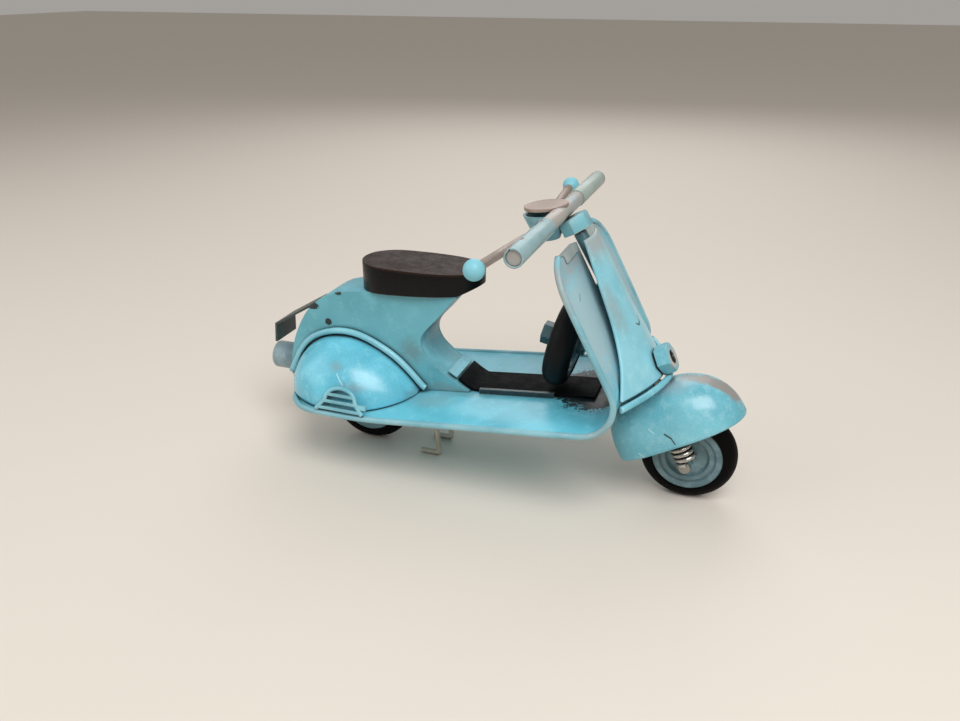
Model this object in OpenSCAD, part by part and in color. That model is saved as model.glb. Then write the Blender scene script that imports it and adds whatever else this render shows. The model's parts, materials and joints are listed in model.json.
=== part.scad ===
// Sheet-metal toy motor scooter. +X is forward, +Y is left, +Z is up, millimetres.
// The origin is the centre of the footprint, on the ground.

/* [Wheels] */
// Outer radius of all three tyres
wheel_r = 14.5; // [14:0.1:14.8]
// Radius of the tyre's round section
tyre_r = 4; // [3.8:0.1:4.2]
// Radius of the pressed steel wheel discs
disc_r = 10.6; // [10.2:0.1:10.8]
// Front wheel centre, forward of the origin
front_x = 63.7; // [63.4:0.1:64]
// Rear wheel centre, forward of the origin
rear_x = -43; // [-43.5:0.1:-42.5]
// Radius of both axles
axle_r = 1.25; // [1.2:0.01:1.27]
// Radial clearance of the running fits
fit_gap = 0.05; // [0.02:0.01:0.08]

/* [Sheet metal] */
// Thickness of the sheet
sheet_t = 0.8; // [0.6:0.1:0.9]
// Half of the width over the floor's edge wires
half_width = 28.9; // [28.9:0.1:29.2]
// Radius of the wire along the sheet's edge
edge_wire_r = 1; // [0.8:0.1:1]
// Radius of the bend from the floor to the leg shield
bend_r = 10; // [9.5:0.1:10.4]
// Height of the leg shield's top edge
shield_top_z = 77.2; // [76.5:0.1:77.3]
// Lean of the leg shield from upright
shield_rake = 28.15; // [27.8:0.05:28.5]
// Height that the floor's middle stands above its edges
floor_crown = 1.2; // [0.8:0.1:1.4]

/* [Rear body] */
// Half of the width over the body's side panels
body_half = 7.8; // [7.6:0.1:8]
// How far a cowl bulges from its side panel
cowl_bulge = 18.8; // [18:0.1:18.8]
// Highest point of a cowl
cowl_top_z = 39.8; // [39.4:0.1:40]
// Radius of the trim rod over a cowl
trim_r = 1.1; // [0.9:0.1:1.2]
// Top of the seat
seat_top_z = 65.2; // [64.5:0.1:66]
// Half of the seat's width
seat_half = 10; // [9:0.1:10.5]

/* [Steering] */
// Lean of the steering axis from upright
steer_rake = 30.6; // [30.4:0.1:30.8]
// Where the steering axis meets the height of the front axle
steer_foot_x = 65.1; // [65:0.1:65.2]
// Radius of the steering stem
stem_r = 1.4; // [1.3:0.05:1.45]
// Width across the flats of the steering nut and the headlamp nut
nut_flats = 8; // [7.8:0.1:8]
// Half of the length over the handlebar grips
bar_half = 45.5; // [45:0.1:46]
// Outer radius of a grip sleeve
grip_r = 2.55; // [2.5:0.05:2.6]
// Diameter of the flat dial disc
dial_d = 12.8; // [12.5:0.1:13]
// Outer diameter of the coil spring
spring_d = 6.8; // [6.4:0.1:6.8]
// Wire diameter of the coil spring
spring_wire = 1.35; // [1.2:0.05:1.4]

/* [Hidden] */

round_fn = 64;
wire_fn = 10;
blue = "#6fbfce";
dark_blue = "#4f9aa8";
black = "#1b1c1e";
steel = "#b9b7b2";

// ---------- helpers ----------
function unit(a) = a / norm(a);
function flat2(grid) = [for (row = grid) for (p = row) p];
function side_y(side) = side == "right" ? -1 : 1;

// Smooth curve through hand-chosen points, with a number of steps between each pair
function spline(p, steps) = let (n = len(p)) concat([for (i = [0:n - 2]) for (k = [0:steps - 1])
    let (t = k / steps, a = p[max(i - 1, 0)], b = p[i], c = p[i + 1], d = p[min(i + 2, n - 1)])
    0.5 * (2 * b + (c - a) * t + (2 * a - 5 * b + 4 * c - d) * t * t
        + (3 * b - a - 3 * c + d) * t * t * t)], [p[n - 1]]);

// Band of constant thickness on one side of an open 2-D line
function tangent(p, i) = unit(p[min(i + 1, len(p) - 1)] - p[max(i - 1, 0)]);
function shifted(p, d) = [for (i = [0:len(p) - 1]) let (t = tangent(p, i)) p[i] + d * [-t[1], t[0]]];
function band(p, d) = concat(p, [for (i = [len(p) - 1:-1:0]) shifted(p, d)[i]]);

// Round tube swept along a list of points
module tube_along(path, r, sides = wire_fn, ref = [1, 1, 1]) {
    n = len(path);
    rings = [for (i = [0:n - 1])
        let (t = tangent(path, i), a = unit(cross(t, ref)), b = cross(t, a))
        [for (j = [0:sides - 1]) path[i] + r * (cos(360 * j / sides) * a + sin(360 * j / sides) * b)]];
    quads = [for (i = [0:n - 2]) for (j = [0:sides - 1])
        let (k = (j + 1) % sides, a = i * sides + j, b = i * sides + k)
        each [[a + sides, b + sides, b], [a + sides, b, a]]];
    caps = [[for (j = [0:sides - 1]) j], [for (j = [sides - 1:-1:0]) (n - 1) * sides + j]];
    polyhedron(flat2(rings), concat(quads, caps), convexity = 8);
}

// Closed sheet between two grids of points; outer is the side that faces out
module sheet_between(outer, inner) {
    m = len(outer);
    n = len(outer[0]);
    o = m * n;
    skin = [for (i = [0:m - 2]) for (j = [0:n - 2]) let (a = i * n + j)
        each [[a, a + 1, a + n + 1], [a, a + n + 1, a + n]]];
    back = [for (f = skin) [f[2] + o, f[1] + o, f[0] + o]];
    ends = [for (j = [0:n - 2]) let (a = j, b = (m - 1) * n + j)
        each [[a, a + o, a + 1 + o], [a, a + 1 + o, a + 1], [b, b + 1, b + 1 + o], [b, b + 1 + o, b + o]]];
    sides = [for (i = [0:m - 2]) let (a = i * n, b = i * n + n - 1)
        each [[a, a + n, a + n + o], [a, a + n + o, a + o], [b, b + o, b + n + o], [b, b + n + o, b + n]]];
    polyhedron(concat(flat2(outer), flat2(inner)), concat(skin, back, ends, sides), convexity = 8);
}

// A plate in the XZ plane, from y0 to y1
module plate_xz(points, y0, y1) {
    translate([0, y1, 0]) rotate([90, 0, 0]) linear_extrude(y1 - y0) polygon(points);
}

// A cylinder along Y
module rod_y(x, z, y0, y1, r, fn = round_fn) {
    translate([x, y0, z]) rotate([-90, 0, 0]) cylinder(h = y1 - y0, r = r, $fn = fn);
}

// Places children with their Z along the steering axis and X forward of it
module on_steering() {
    translate([steer_foot_x, 0, wheel_r]) rotate([0, -steer_rake, 0]) children();
}
function steer_point(u, y, v) = [steer_foot_x + u * cos(steer_rake) - v * sin(steer_rake), y,
    wheel_r + u * sin(steer_rake) + v * cos(steer_rake)];

// ---------- floor and leg shield ----------
floor_tail_x = -60.5;
floor_tail_half = 14;
floor_rear_z = 22.1;
floor_low_x = -33;
floor_rise = 6.1;
round_tail_x = -49;
shield_foot = [45.2, 41];
solder_gap = 0.03;
sheet_half = half_width - 2 * edge_wire_r - solder_gap;
corner_r = 10;

function floor_line_z(x) = floor_rear_z + (x - floor_low_x) * tan(floor_rise);
// Where the floor's line and the leg shield's line would meet
corner_x = (shield_foot[0] + tan(shield_rake) * (shield_foot[1] - floor_line_z(0)))
    / (1 + tan(shield_rake) * tan(floor_rise));
bend_turn = 90 + shield_rake - floor_rise;
bend_reach = bend_r * tan(bend_turn / 2);
bend_start = [corner_x - bend_reach * cos(floor_rise),
    floor_line_z(corner_x) - bend_reach * sin(floor_rise)];
bend_centre = bend_start + bend_r * [-sin(floor_rise), cos(floor_rise)];
shield_dir = [-sin(shield_rake), cos(shield_rake)];
bend_end = bend_centre + bend_r * [cos(shield_rake), sin(shield_rake)];
shield_len = (shield_top_z - bend_end[1]) / cos(shield_rake);

// The sheet's line seen from the side, each point with the half width there
function tail_half(x) = floor_tail_half + (sheet_half - floor_tail_half)
    * sqrt(max(0, 1 - pow((x - round_tail_x) / (floor_tail_x - round_tail_x), 2)));
function corner_half(s) = let (d = s - (shield_len - corner_r))
    d <= 0 ? sheet_half : sheet_half - corner_r + sqrt(max(0, corner_r * corner_r - d * d));
tail_steps = 7;
bend_steps = 10;
corner_steps = 6;
side_line = concat(
    [for (k = [0:tail_steps]) let (x = round_tail_x
        + (floor_tail_x - round_tail_x) * cos(90 * k / tail_steps)) [x, floor_rear_z, tail_half(x)]],
    [for (x = [floor_low_x, -24, -15, 0, 15, 30]) [x, floor_line_z(x), sheet_half]],
    [for (k = [0:bend_steps]) let (a = floor_rise - 90 + bend_turn * k / bend_steps)
        [bend_centre[0] + bend_r * cos(a), bend_centre[1] + bend_r * sin(a), sheet_half]],
    [for (k = [0:corner_steps]) let (s = shield_len - corner_r + corner_r * sin(90 * k / corner_steps))
        [bend_end[0] + s * shield_dir[0], bend_end[1] + s * shield_dir[1], corner_half(s)]]);

// Crown of the floor, which fades out at the tail and up the bend
function crown_at(x) = floor_crown * max(0, min(1, (x + 40) / 25)) * max(0, min(1, (42 - x) / 8));
side_xz = [for (p = side_line) [p[0], p[1]]];
sheet_top = shifted(side_xz, sheet_t / 2);
sheet_under = shifted(side_xz, -sheet_t / 2);
sheet_cols = 8;
function sheet_grid(line) = [for (i = [0:len(line) - 1]) [for (j = [0:sheet_cols])
    let (f = 2 * j / sheet_cols - 1, rise = line[i][1] < 40 ? crown_at(line[i][0]) : 0)
    [line[i][0], f * side_line[i][2], line[i][1] + rise * (1 - f * f)]]];
function floor_top_z(x, y) = floor_line_z(max(x, floor_low_x)) + sheet_t / 2
    + crown_at(x) * (1 - pow(y / sheet_half, 2));
function shield_x(z) = shield_foot[0] - tan(shield_rake) * (z - shield_foot[1]);

slot_half = 4.9;
notch_half = 2;
notch_low_v = 60;
stem_top_v = 80.6;
head_tube_r = 1.9;
head_low_v = 40;
head_top_v = 75.6;

module leg_shield_floor() color(blue) difference() {
    sheet_between(sheet_grid(sheet_under), sheet_grid(sheet_top));
    // slot that the rear wheel comes up through
    translate([rear_x - wheel_r, -slot_half, floor_rear_z - 3]) cube([2 * wheel_r, 2 * slot_half, 6]);
    // notch for the head tube, open at the top edge
    on_steering() translate([-6, -notch_half, notch_low_v]) cube([9, 2 * notch_half, 40]);
}

// Wire soldered along the sheet's edge, from the tail to the shield's top corner
function edge_point(i, side) = let (p = side_line[i], a = side_line[max(i - 1, 0)],
        b = side_line[min(i + 1, len(side_line) - 1)], run = [b[0] - a[0], b[1] - a[1]], wide = b[2] - a[2],
        out = (edge_wire_r + solder_gap) / norm([norm(run), wide]), back = -wide * out / norm(run))
    [p[0] + back * run[0], side_y(side) * (p[2] + norm(run) * out), p[1] + back * run[1]];
module edge_wire(side) color(blue) tube_along([for (i = [0:len(side_line) - 1]) let (p = side_line[i])
    if (p[1] < 40 || p[2] > sheet_half - corner_r * 0.85) edge_point(i, side)], edge_wire_r);
module edge_wire_right() edge_wire("right");
module edge_wire_left() edge_wire("left");

// Folded strip that hides the raw top edge, from the corner to the front cover
lip_in = 5;
lip_out = sheet_half - corner_r;
lip_h = 2.2;
lip_t = 0.5;
module top_lip(side) color(steel) {
    mid = [shield_x(shield_top_z), shield_top_z];
    gap_half = sheet_t / 2 + 0.03;
    wide = gap_half + lip_t;
    translate([mid[0], side_y(side) * (lip_in + lip_out) / 2, mid[1]]) rotate([0, -shield_rake, 0])
        translate([-wide, -(lip_out - lip_in) / 2, -lip_h]) difference() {
            cube([2 * wide, lip_out - lip_in, lip_h + 0.6]);
            translate([lip_t, -1, -1]) cube([2 * gap_half, lip_out - lip_in + 2, lip_h + 1.05]);
        }
}
module top_lip_right() top_lip("right");
module top_lip_left() top_lip("left");

// ---------- front cover ----------
// Height, half width, edge's place and middle's place of the cover, from its foot up
cover_stations = [[39.9, 23.8, 46.2, 54.5], [46.3, 18.8, 45, 50.2], [51.8, 15, 42.9, 47.2],
    [57.8, 12.2, 40.2, 43.6], [65.5, 10.4, 36.6, 39.2], [79.4, 7, 30, 31]];
cover_power = 1.5;
cover_curve = spline(cover_stations, 3);
cover_cols = 12;
function cover_point(s, f, back) = [s[3] - back - (s[3] - s[2]) * pow(abs(f), cover_power),
    f * (s[1] - (back > 0 ? 0.2 : 0)), s[0]];
module front_cover() color(blue) {
    front = [for (s = cover_curve) [for (j = [0:cover_cols]) cover_point(s, 2 * j / cover_cols - 1, 0)]];
    rear = [for (s = cover_curve) [for (j = [0:cover_cols])
        cover_point(s, 2 * j / cover_cols - 1, sheet_t)]];
    sheet_between(rear, front);
}

rod_tip_x = 55.9;
rod_end_x = 46.3;
rod_end_y = 26.3;
rod_low_z = 38.9;
rod_rise = 0.5;
module cover_trim_rod() color(blue) {
    steps = 9;
    path = [for (k = [-steps:steps]) let (f = abs(k) / steps)
        [rod_tip_x - (rod_tip_x - rod_end_x) * pow(f, 1.5), rod_end_y * k / steps,
            rod_low_z + rod_rise * (1 - f)]];
    tube_along(path, 1, wire_fn, [0, 0, 1]);
}

// Thin web that joins the tube to the shield and to the cover
web_half = 0.5;
web_z = [46, 51.8, 57.8, 65.5, 76];
web_front_x = [49.3, 46.1, 42.5, 38.1, 31.9];
web_line = concat([for (i = [0:len(web_z) - 1]) [web_front_x[i], web_z[i]]],
    [for (z = [76, 46]) [shield_x(z) + sheet_t, z]]);
module head_tube() color(dark_blue) difference() {
    union() {
        on_steering() translate([0, 0, head_low_v])
            cylinder(h = head_top_v - head_low_v, r = head_tube_r, $fn = round_fn);
        plate_xz(web_line, -web_half, web_half);
    }
    on_steering() translate([0, 0, head_low_v - 10])
        cylinder(h = head_top_v, r = stem_r + fit_gap, $fn = round_fn);
}

lamp_x = 52.55;
lamp_z = 43.4;
lamp_tilt = 30;
lamp_t = 4;
thread_r = 2.1;
module hex_nut(bore, flats, h) difference() {
    intersection() {
        cylinder(h = h, r = flats / sqrt(3), $fn = 6);
        translate([0, 0, -flats * 0.36]) cylinder(h = h + flats * 0.56, r1 = flats, r2 = flats * 0.42,
            $fn = round_fn);
    }
    translate([0, 0, -1]) cylinder(h = h + 2, r = bore, $fn = round_fn);
}
module headlamp_nut() color(steel) translate([lamp_x, 0, lamp_z]) rotate([0, 90 - lamp_tilt, 0])
    rotate([0, 0, 30]) hex_nut(thread_r, nut_flats, lamp_t);

// ---------- rear body ----------
tail_points = [[-69, 22.6], [-68.4, 29.4], [-65.6, 38.6], [-60, 47.8], [-51.6, 53.8], [-40, 56]];
top_front = [-8.4, 58.1];
throat_points = [[-8.4, 58.1], [-14.6, 50.4], [-20.3, 43.4], [-19.4, 37.6], [-13, 32], [-4.4, 27]];
tail_line = concat(spline(tail_points, 4), [top_front]);
throat_line = spline(throat_points, 5);
panel_foot = [[-5, floor_top_z(-5, body_half) + 0.05], [-18, floor_top_z(-18, body_half) + 0.05],
    [floor_low_x, floor_top_z(floor_low_x, 0) + 0.05]];
module side_panel(side) color(blue) {
    y = side_y(side) * (body_half - sheet_t / 2);
    plate_xz(concat(tail_line, throat_line, panel_foot), y - sheet_t / 2, y + sheet_t / 2);
}
module side_panel_right() side_panel("right");
module side_panel_left() side_panel("left");

inner_half = body_half - sheet_t - 0.02;
module body_top_strip() color(blue) plate_xz(band(tail_line, -sheet_t), -inner_half, inner_half);
front_sheet_low_z = floor_top_z(-4, 0) + 0.1;
front_sheet_top_z = 57.05;
module body_front_sheet() color(blue) intersection() {
    plate_xz(band(throat_line, -sheet_t), -inner_half, inner_half);
    translate([-30, -inner_half, front_sheet_low_z])
        cube([40, 2 * inner_half, front_sheet_top_z - front_sheet_low_z]);
}

cowl_mid_x = -46;
cowl_front_x = -20.8;
cowl_rear_x = -65.2;
cowl_front_power = 1.8;
cowl_rows = 16;
cowl_cols = 9;
cowl_gap = 0.15;
// The foot rises over the edge wire where the floor narrows to its tail
function cowl_lift(x) = max(0, min(0.55, (-49.5 - x) * 0.15));
function cowl_grid(side, inset) = [for (i = [0:cowl_rows]) let (
        a = 7 + (180 - 14) * i / cowl_rows,
        reach = (cos(a) > 0 ? cowl_front_x - cowl_mid_x : cowl_mid_x - cowl_rear_x) - inset,
        x = cowl_mid_x + reach * cos(a), k = sin(a),
        foot = floor_top_z(x, body_half + cowl_bulge * k / 2) + cowl_gap + cowl_lift(x))
    [for (j = [0:cowl_cols]) let (b = 90 * j / cowl_cols)
        [x, side_y(side) * (body_half + cowl_gap + (cowl_bulge - inset) * k * cos(b)),
            foot + sin(b) * (cowl_top_z - inset - floor_rear_z)
                * pow(k, cos(a) > 0 ? cowl_front_power : 1)]]];
module cowl(side) color(blue) {
    if (side == "right")
        sheet_between(cowl_grid(side, sheet_t), cowl_grid(side, 0));
    else
        sheet_between(cowl_grid(side, 0), cowl_grid(side, sheet_t));
}
module cowl_right() cowl("right");
module cowl_left() cowl("left");

trim_points = [[-68.1, 24.6], [-63.2, 33.8], [-58, 38.8], [-50.4, 41.7], [-43.1, 41.8], [-36.1, 39.5],
    [-29.3, 35.8], [-24.2, 31.4], [-20.2, 27.2], [-18.9, 26.3]];
module cowl_trim(side) color(blue) {
    y = side_y(side) * (body_half + trim_r + 0.05);
    tube_along([for (p = spline(trim_points, 3)) [p[0], y, p[1]]], trim_r, wire_fn, [0, 1, 0]);
}
module cowl_trim_right() cowl_trim("right");
module cowl_trim_left() cowl_trim("left");

// Round-topped louvre frame with three cross bars, standing on the floor's edge against the right cowl
grille_x = -39.8;
grille_y = -28.4;
grille_z = 23.6;
grille_lean = 20;
grille_r = 0.7;
grille_foot_half = 8;
grille_arch_half = 5.2;
grille_arch_low = 3.4;
grille_arch_h = 4;
module cooling_grille() color(blue) translate([grille_x, grille_y, grille_z]) rotate([-grille_lean, 0, 0]) {
    arch = [for (k = [0:14]) let (a = 180 * k / 14)
        [grille_arch_half * cos(a), 0, grille_arch_low + grille_arch_h * sin(a)]];
    tube_along(concat([[grille_foot_half, 0, 0]], arch, [[-grille_foot_half, 0, 0]]), grille_r, wire_fn,
        [0, 1, 0]);
    // cross bars, each as its height and its half length
    for (bar = [[0.7, 7.4], [2.9, 5.6], [5.1, 4.7]]) translate([-bar[1], -grille_r * 0.7, bar[0] - 0.5])
        cube([2 * bar[1], grille_r * 1.4, 1]);
    // tab at the front foot
    translate([6, -grille_r * 0.7, 1.7]) cube([3, grille_r * 1.4, 1.5]);
}

// Plan of the seat: blunt at the rear, pointed at the front
seat_points = [[-42.4, 0], [-41.2, -4.6], [-36, -8.8], [-27, -10], [-15.5, -9.6], [-7.5, -7.4], [-3.2, -3.6],
    [-2, 0]];
seat_plan = spline(seat_points, 3);
body_top_slope = atan((top_front[1] - 56) / (top_front[0] + 40));
module seat() color(black) difference() {
    translate([0, 0, 50]) linear_extrude(seat_top_z - 50)
        polygon(concat(seat_plan, [for (i = [len(seat_plan) - 2:-1:1]) [seat_plan[i][0], -seat_plan[i][1]]]));
    // flat underside that lies on the body, and the cut-away nose
    translate([-40, -20, 56.05]) rotate([0, -body_top_slope, 0]) translate([-20, 0, -20]) cube([80, 40, 20]);
    translate([-8, -20, 58.3]) rotate([0, -24, 0]) translate([0, 0, -12]) cube([30, 40, 12]);
}

// ---------- floor trim ----------
mat_half = 6.9;
mat_t = 0.8;
mat_points = [for (x = [-3:6.4:35.5]) [x, floor_top_z(x, 0) + 0.03]];
module floor_mat() color(black) plate_xz(band(concat([[-8.6, 30.2], [-5.6, 28.2]], mat_points), mat_t),
    -mat_half, mat_half);
module mat_rail() color(black) {
    x0 = -1;
    x1 = 23;
    y = -mat_half - 0.05;
    plate_xz([[x0, floor_top_z(x0, y) + 0.05], [x1, floor_top_z(x1, y) + 0.05],
        [x1, floor_top_z(x1, y) + 1.6], [x0, floor_top_z(x0, y) + 1.6]], y - 1.2, y);
}
module mat_end_strip() color(blue) plate_xz(band([[-11.9, 32.4], [-9, 30.6]], 0.5),
    -mat_half, mat_half);

// ---------- tail ----------
lamp_rear_x = -78.7;
tail_lamp_r = 4.65;
tail_lamp_z = 25.4;
module tail_lamp() color("#8fa7ae") translate([lamp_rear_x, 0, tail_lamp_z]) rotate([0, 90, 0])
    cylinder(h = -69.1 - lamp_rear_x, r = tail_lamp_r, $fn = round_fn);
module tail_bracket() color("#7d7468") translate([-70.4, -5, 17.4]) cube([0.8, 5, 3.3]);
plate_half = 6;
plate_points = [[-61.2, 47.9], [-75, 39.7], [-75.6, 33]];
module number_plate() color("#3b4a47") plate_xz(band(plate_points, sheet_t), -plate_half, plate_half);

// ---------- rear axle ----------
bracket_in = 5;
bracket_t = 0.8;
module axle_bracket(side) color(dark_blue) {
    y0 = side == "right" ? -bracket_in - bracket_t : bracket_in;
    foot_y = side == "right" ? -bracket_in - 3.2 : bracket_in;
    top_z = floor_rear_z - sheet_t / 2 - 0.03;
    difference() {
        union() {
            plate_xz([[rear_x - 2.8, 12.4], [rear_x - 1.6, 11.4], [rear_x + 1.6, 11.4],
                [rear_x + 2.8, 12.4], [rear_x + 2.8, top_z], [rear_x - 2.8, top_z]], y0, y0 + bracket_t);
            translate([rear_x - 2.8, foot_y, top_z - bracket_t]) cube([5.6, 3.2, bracket_t]);
        }
        rod_y(rear_x, wheel_r, y0 - 1, y0 + bracket_t + 1, axle_r + 0.02);
    }
}
module axle_bracket_right() axle_bracket("right");
module axle_bracket_left() axle_bracket("left");

module rear_axle() color(steel) rod_y(rear_x, wheel_r, -7.6, 7.6, axle_r);
module axle_nut(x, y, turn) translate([x, y, wheel_r]) rotate([turn, 0, 0])
    hex_nut(axle_r + 0.02, 3.8, 1.4);
module rear_axle_nuts() color(steel) {
    axle_nut(rear_x, -bracket_in - bracket_t - 0.05, 90);
    axle_nut(rear_x, bracket_in + bracket_t + 0.05, -90);
}

// ---------- wheels, drawn about the origin with the axle along Y ----------
hub_r = 2.4;
disc_in_y = 2.6;
disc_out_y = 3.6;
module spun_about_y() rotate([-90, 0, 0]) rotate_extrude($fn = round_fn) children();
module tyre_ring() spun_about_y() difference() {
    translate([wheel_r - tyre_r, 0]) circle(r = tyre_r, $fn = 40);
    for (s = [-1, 1]) translate([0, s > 0 ? disc_in_y - 0.02 : -disc_in_y - 3.98])
        square([disc_r + 0.02, 4]);
    translate([0, -5]) square([7.6, 10]);
}
// Stepped disc: flat outer ring, groove, raised inner ring and a dished middle
module wheel_disc(s) spun_about_y() scale([1, s]) polygon([[hub_r + 0.02, 0.9], [5.6, 0.9], [6.4, disc_in_y],
    [disc_r, disc_in_y], [disc_r, disc_out_y - 0.2], [disc_r - 0.3, disc_out_y], [8.6, disc_out_y],
    [8.4, disc_out_y - 0.5], [8.1, disc_out_y - 0.5], [7.8, disc_out_y - 0.15],
    [6.6, disc_out_y - 0.15], [5.9, 1.9], [hub_r + 0.02, 1.7]]);
module wheel_discs() {
    wheel_disc(-1);
    wheel_disc(1);
}
module wheel_hub(bore) spun_about_y() translate([bore, -disc_out_y]) square([hub_r - bore, 2 * disc_out_y]);

module at_rear() translate([rear_x, 0, wheel_r]) children();
module rear_tyre() color(black) at_rear() tyre_ring();
module rear_discs() color(dark_blue) at_rear() wheel_discs();
module rear_hub() color(dark_blue) at_rear() wheel_hub(axle_r + fit_gap);

module at_front() translate([front_x, 0, wheel_r]) children();
module front_tyre() color(black) at_front() tyre_ring();
module front_discs() color(dark_blue) at_front() wheel_discs();
module front_hub() color(dark_blue) at_front() wheel_hub(axle_r + fit_gap);

// ---------- spare wheel behind the leg shield ----------
spare_x = 24.6;
spare_z = 46;
spare_lean = 12.5;
bolt_r = 1.25;
spare_bolt_end = 18.95;
spare_head_t = 3.4;
module at_spare() translate([spare_x, 0, spare_z]) rotate([0, spare_lean, 0]) rotate([0, 0, -90]) children();
module spare_tyre() color(black) at_spare() tyre_ring();
module spare_discs() color(dark_blue) at_spare() wheel_discs();
module spare_hub() color(dark_blue) at_spare() wheel_hub(bolt_r + 0.02);
module spare_bolt() color(dark_blue) at_spare() {
    rod_y(0, 0, -disc_out_y - 1, spare_bolt_end, bolt_r);
    translate([0, -disc_out_y - 0.9, 0]) rotate([90, 0, 0]) cylinder(h = spare_head_t, r = 3.6, $fn = 6);
    rod_y(0, 0, -disc_out_y - 0.95, -disc_out_y - 0.05, 4.9);
}
module spare_nut() color(dark_blue) at_spare() translate([0, disc_out_y + 0.05, 0]) rotate([-90, 0, 0])
    hex_nut(bolt_r + 0.02, 5.5, 2.4);

// ---------- centre stand ----------
stand_x = -18.9;
stand_half = 5.6;
stand_r = 0.9;
stand_z = floor_line_z(stand_x) - sheet_t / 2 - 2;
module stand_sleeve() color(dark_blue) difference() {
    union() {
        rod_y(stand_x, stand_z, -4.2, 4.2, 1.75);
        translate([stand_x - 1.2, -4.2, stand_z]) cube([2.4, 8.4, 1.85]);
    }
    rod_y(stand_x, stand_z, -5, 5, stand_r + fit_gap);
}
module centre_stand() color("#c9c2b4") {
    rod_y(stand_x, stand_z, -stand_half, stand_half, stand_r);
    for (s = [-1, 1]) {
        translate([stand_x, s * stand_half, stand_z]) sphere(r = stand_r + 0.25, $fn = 32);
        tube_along(spline([[stand_x, s * stand_half, stand_z], [stand_x + 2.2, s * stand_half, 8],
            [stand_x + 2.6, s * stand_half, 1.6], [stand_x + 1.2, s * stand_half, stand_r + 0.1],
            [stand_x - 3.6, s * stand_half, stand_r + 0.1]], 4), stand_r, wire_fn, [0, 1, 0]);
    }
}

// ---------- steering ----------
bar_u = -1.9;
bar_v = 83;
bar_r = 2;
sleeve_r = 2.3;
grip_in = 16.5;
bar_inset = 0.6;
crown_v = 18.2;
stem_low_v = crown_v + 0.2;
module steering_stem() color(steel) on_steering() translate([0, 0, stem_low_v])
    cylinder(h = stem_top_v - stem_low_v, r = stem_r, $fn = round_fn);
nut_low_v = 76.3;
steering_nut_t = 4.3;
module steering_nut() color(blue) on_steering() translate([0, 0, nut_low_v]) rotate([0, 0, 30])
    hex_nut(stem_r + 0.02, nut_flats, steering_nut_t);

module handlebar_tube() color(steel) difference() {
    on_steering() {
        rod_y(bar_u, bar_v, -grip_in, grip_in, sleeve_r);
        for (s = [-1, 1]) rod_y(bar_u, bar_v, s > 0 ? grip_in - 1 : -bar_half + bar_inset,
            s > 0 ? bar_half - bar_inset : -grip_in + 1, bar_r);
    }
    // flat on top, under the dial
    dial_place() translate([0, 0, -0.05]) cylinder(h = 5, r = dial_d / 2 + 0.05, $fn = round_fn);
}
module grip(side) color(blue) {
    y0 = side == "right" ? -bar_half : grip_in + 0.15;
    y1 = side == "right" ? -grip_in - 0.15 : bar_half;
    on_steering() difference() {
        rod_y(bar_u, bar_v, y0, y1, grip_r);
        rod_y(bar_u, bar_v, y0 - 1, y1 + 1, bar_r + fit_gap);
        // slit where the rolled sheet meets
        translate([bar_u - 0.25, y0 - 1, bar_v]) cube([0.5, y1 - y0 + 2, 4]);
    }
}
module grip_right() grip("right");
module grip_left() grip("left");

cup_h = 7.6;
cup_drop = 9;
dial_x = 16.5;
dial_z = 85.9;
dial_tilt = 8;
dial_t = 1;
module dial_place() translate([dial_x, 0, dial_z]) rotate([0, -dial_tilt, 0]) children();
module headset_cup() color(dark_blue) difference() {
    dial_place() translate([-0.4, 0, -cup_drop]) difference() {
        cylinder(h = cup_h, r1 = 3.6, r2 = 6.6, $fn = round_fn);
        translate([0, 0, 1]) cylinder(h = cup_h, r1 = 3, r2 = 6, $fn = round_fn);
    }
    on_steering() rod_y(bar_u, bar_v, -12, 12, sleeve_r + 0.05);
    on_steering() translate([0, 0, nut_low_v - 1])
        cylinder(h = steering_nut_t + 2, r = nut_flats / sqrt(3) + 0.1, $fn = round_fn);
}
module dial_disc() color("#b7a59c") dial_place() cylinder(h = dial_t, r = dial_d / 2, $fn = round_fn);

ball_r = 2.75;
lever_r = 1.3;
ball_at = [11.9, 47.1, 81.6];
module lever(side) color("#a48f84") {
    s = side_y(side);
    tube_along(spline([[14.6, s * 6.9, 79.6], [14, s * 14, 80.1], [12.8, s * 30, 80.8],
        [ball_at[0], s * (ball_at[1] - 1), ball_at[2]]], 3), lever_r, wire_fn, [0, 0, 1]);
    translate([ball_at[0], s * ball_at[1], ball_at[2]]) sphere(r = ball_r, $fn = round_fn);
}
module lever_right() lever("right");
module lever_left() lever("left");

// Domed mudguard, drawn about the steering axis; its open rim is square to the axis
guard_mid_u = 1.8;
guard_rear = 21;
guard_front = 18.35;
guard_half = 13;
guard_rim_v = 8.9;
guard_top_v = 24.8;
guard_nose_drop = 1.4;
guard_rows = 18;
guard_cols = 16;
function guard_grid(inset) = [for (i = [0:guard_rows]) let (
        a = 2 + 176 * i / guard_rows,
        power = cos(a) > 0 ? 0.95 : 0.5,
        reach = (cos(a) > 0 ? guard_front : guard_rear) - inset,
        u = guard_mid_u + (cos(a) > 0 ? 1 : -1) * reach * pow(abs(cos(a)), power),
        k = pow(sin(a), power),
        rim = guard_rim_v - guard_nose_drop * pow(max(0, (u - guard_mid_u) / guard_front), 2),
        rise = guard_rim_v + (guard_top_v - guard_rim_v - inset) * k - rim)
    [for (j = [0:guard_cols]) let (b = -90 + 180 * j / guard_cols)
        steer_point(u, (guard_half - inset) * k * (b < 0 ? -1 : 1) * pow(abs(sin(b)), 0.85),
            rim + rise * pow(abs(cos(b)), 0.85))]];
module mudguard() color(blue) difference() {
    sheet_between(guard_grid(0), guard_grid(sheet_t));
    on_steering() translate([0, 0, 20]) cylinder(h = 8, r = stem_r + 0.02, $fn = round_fn);
}

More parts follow.
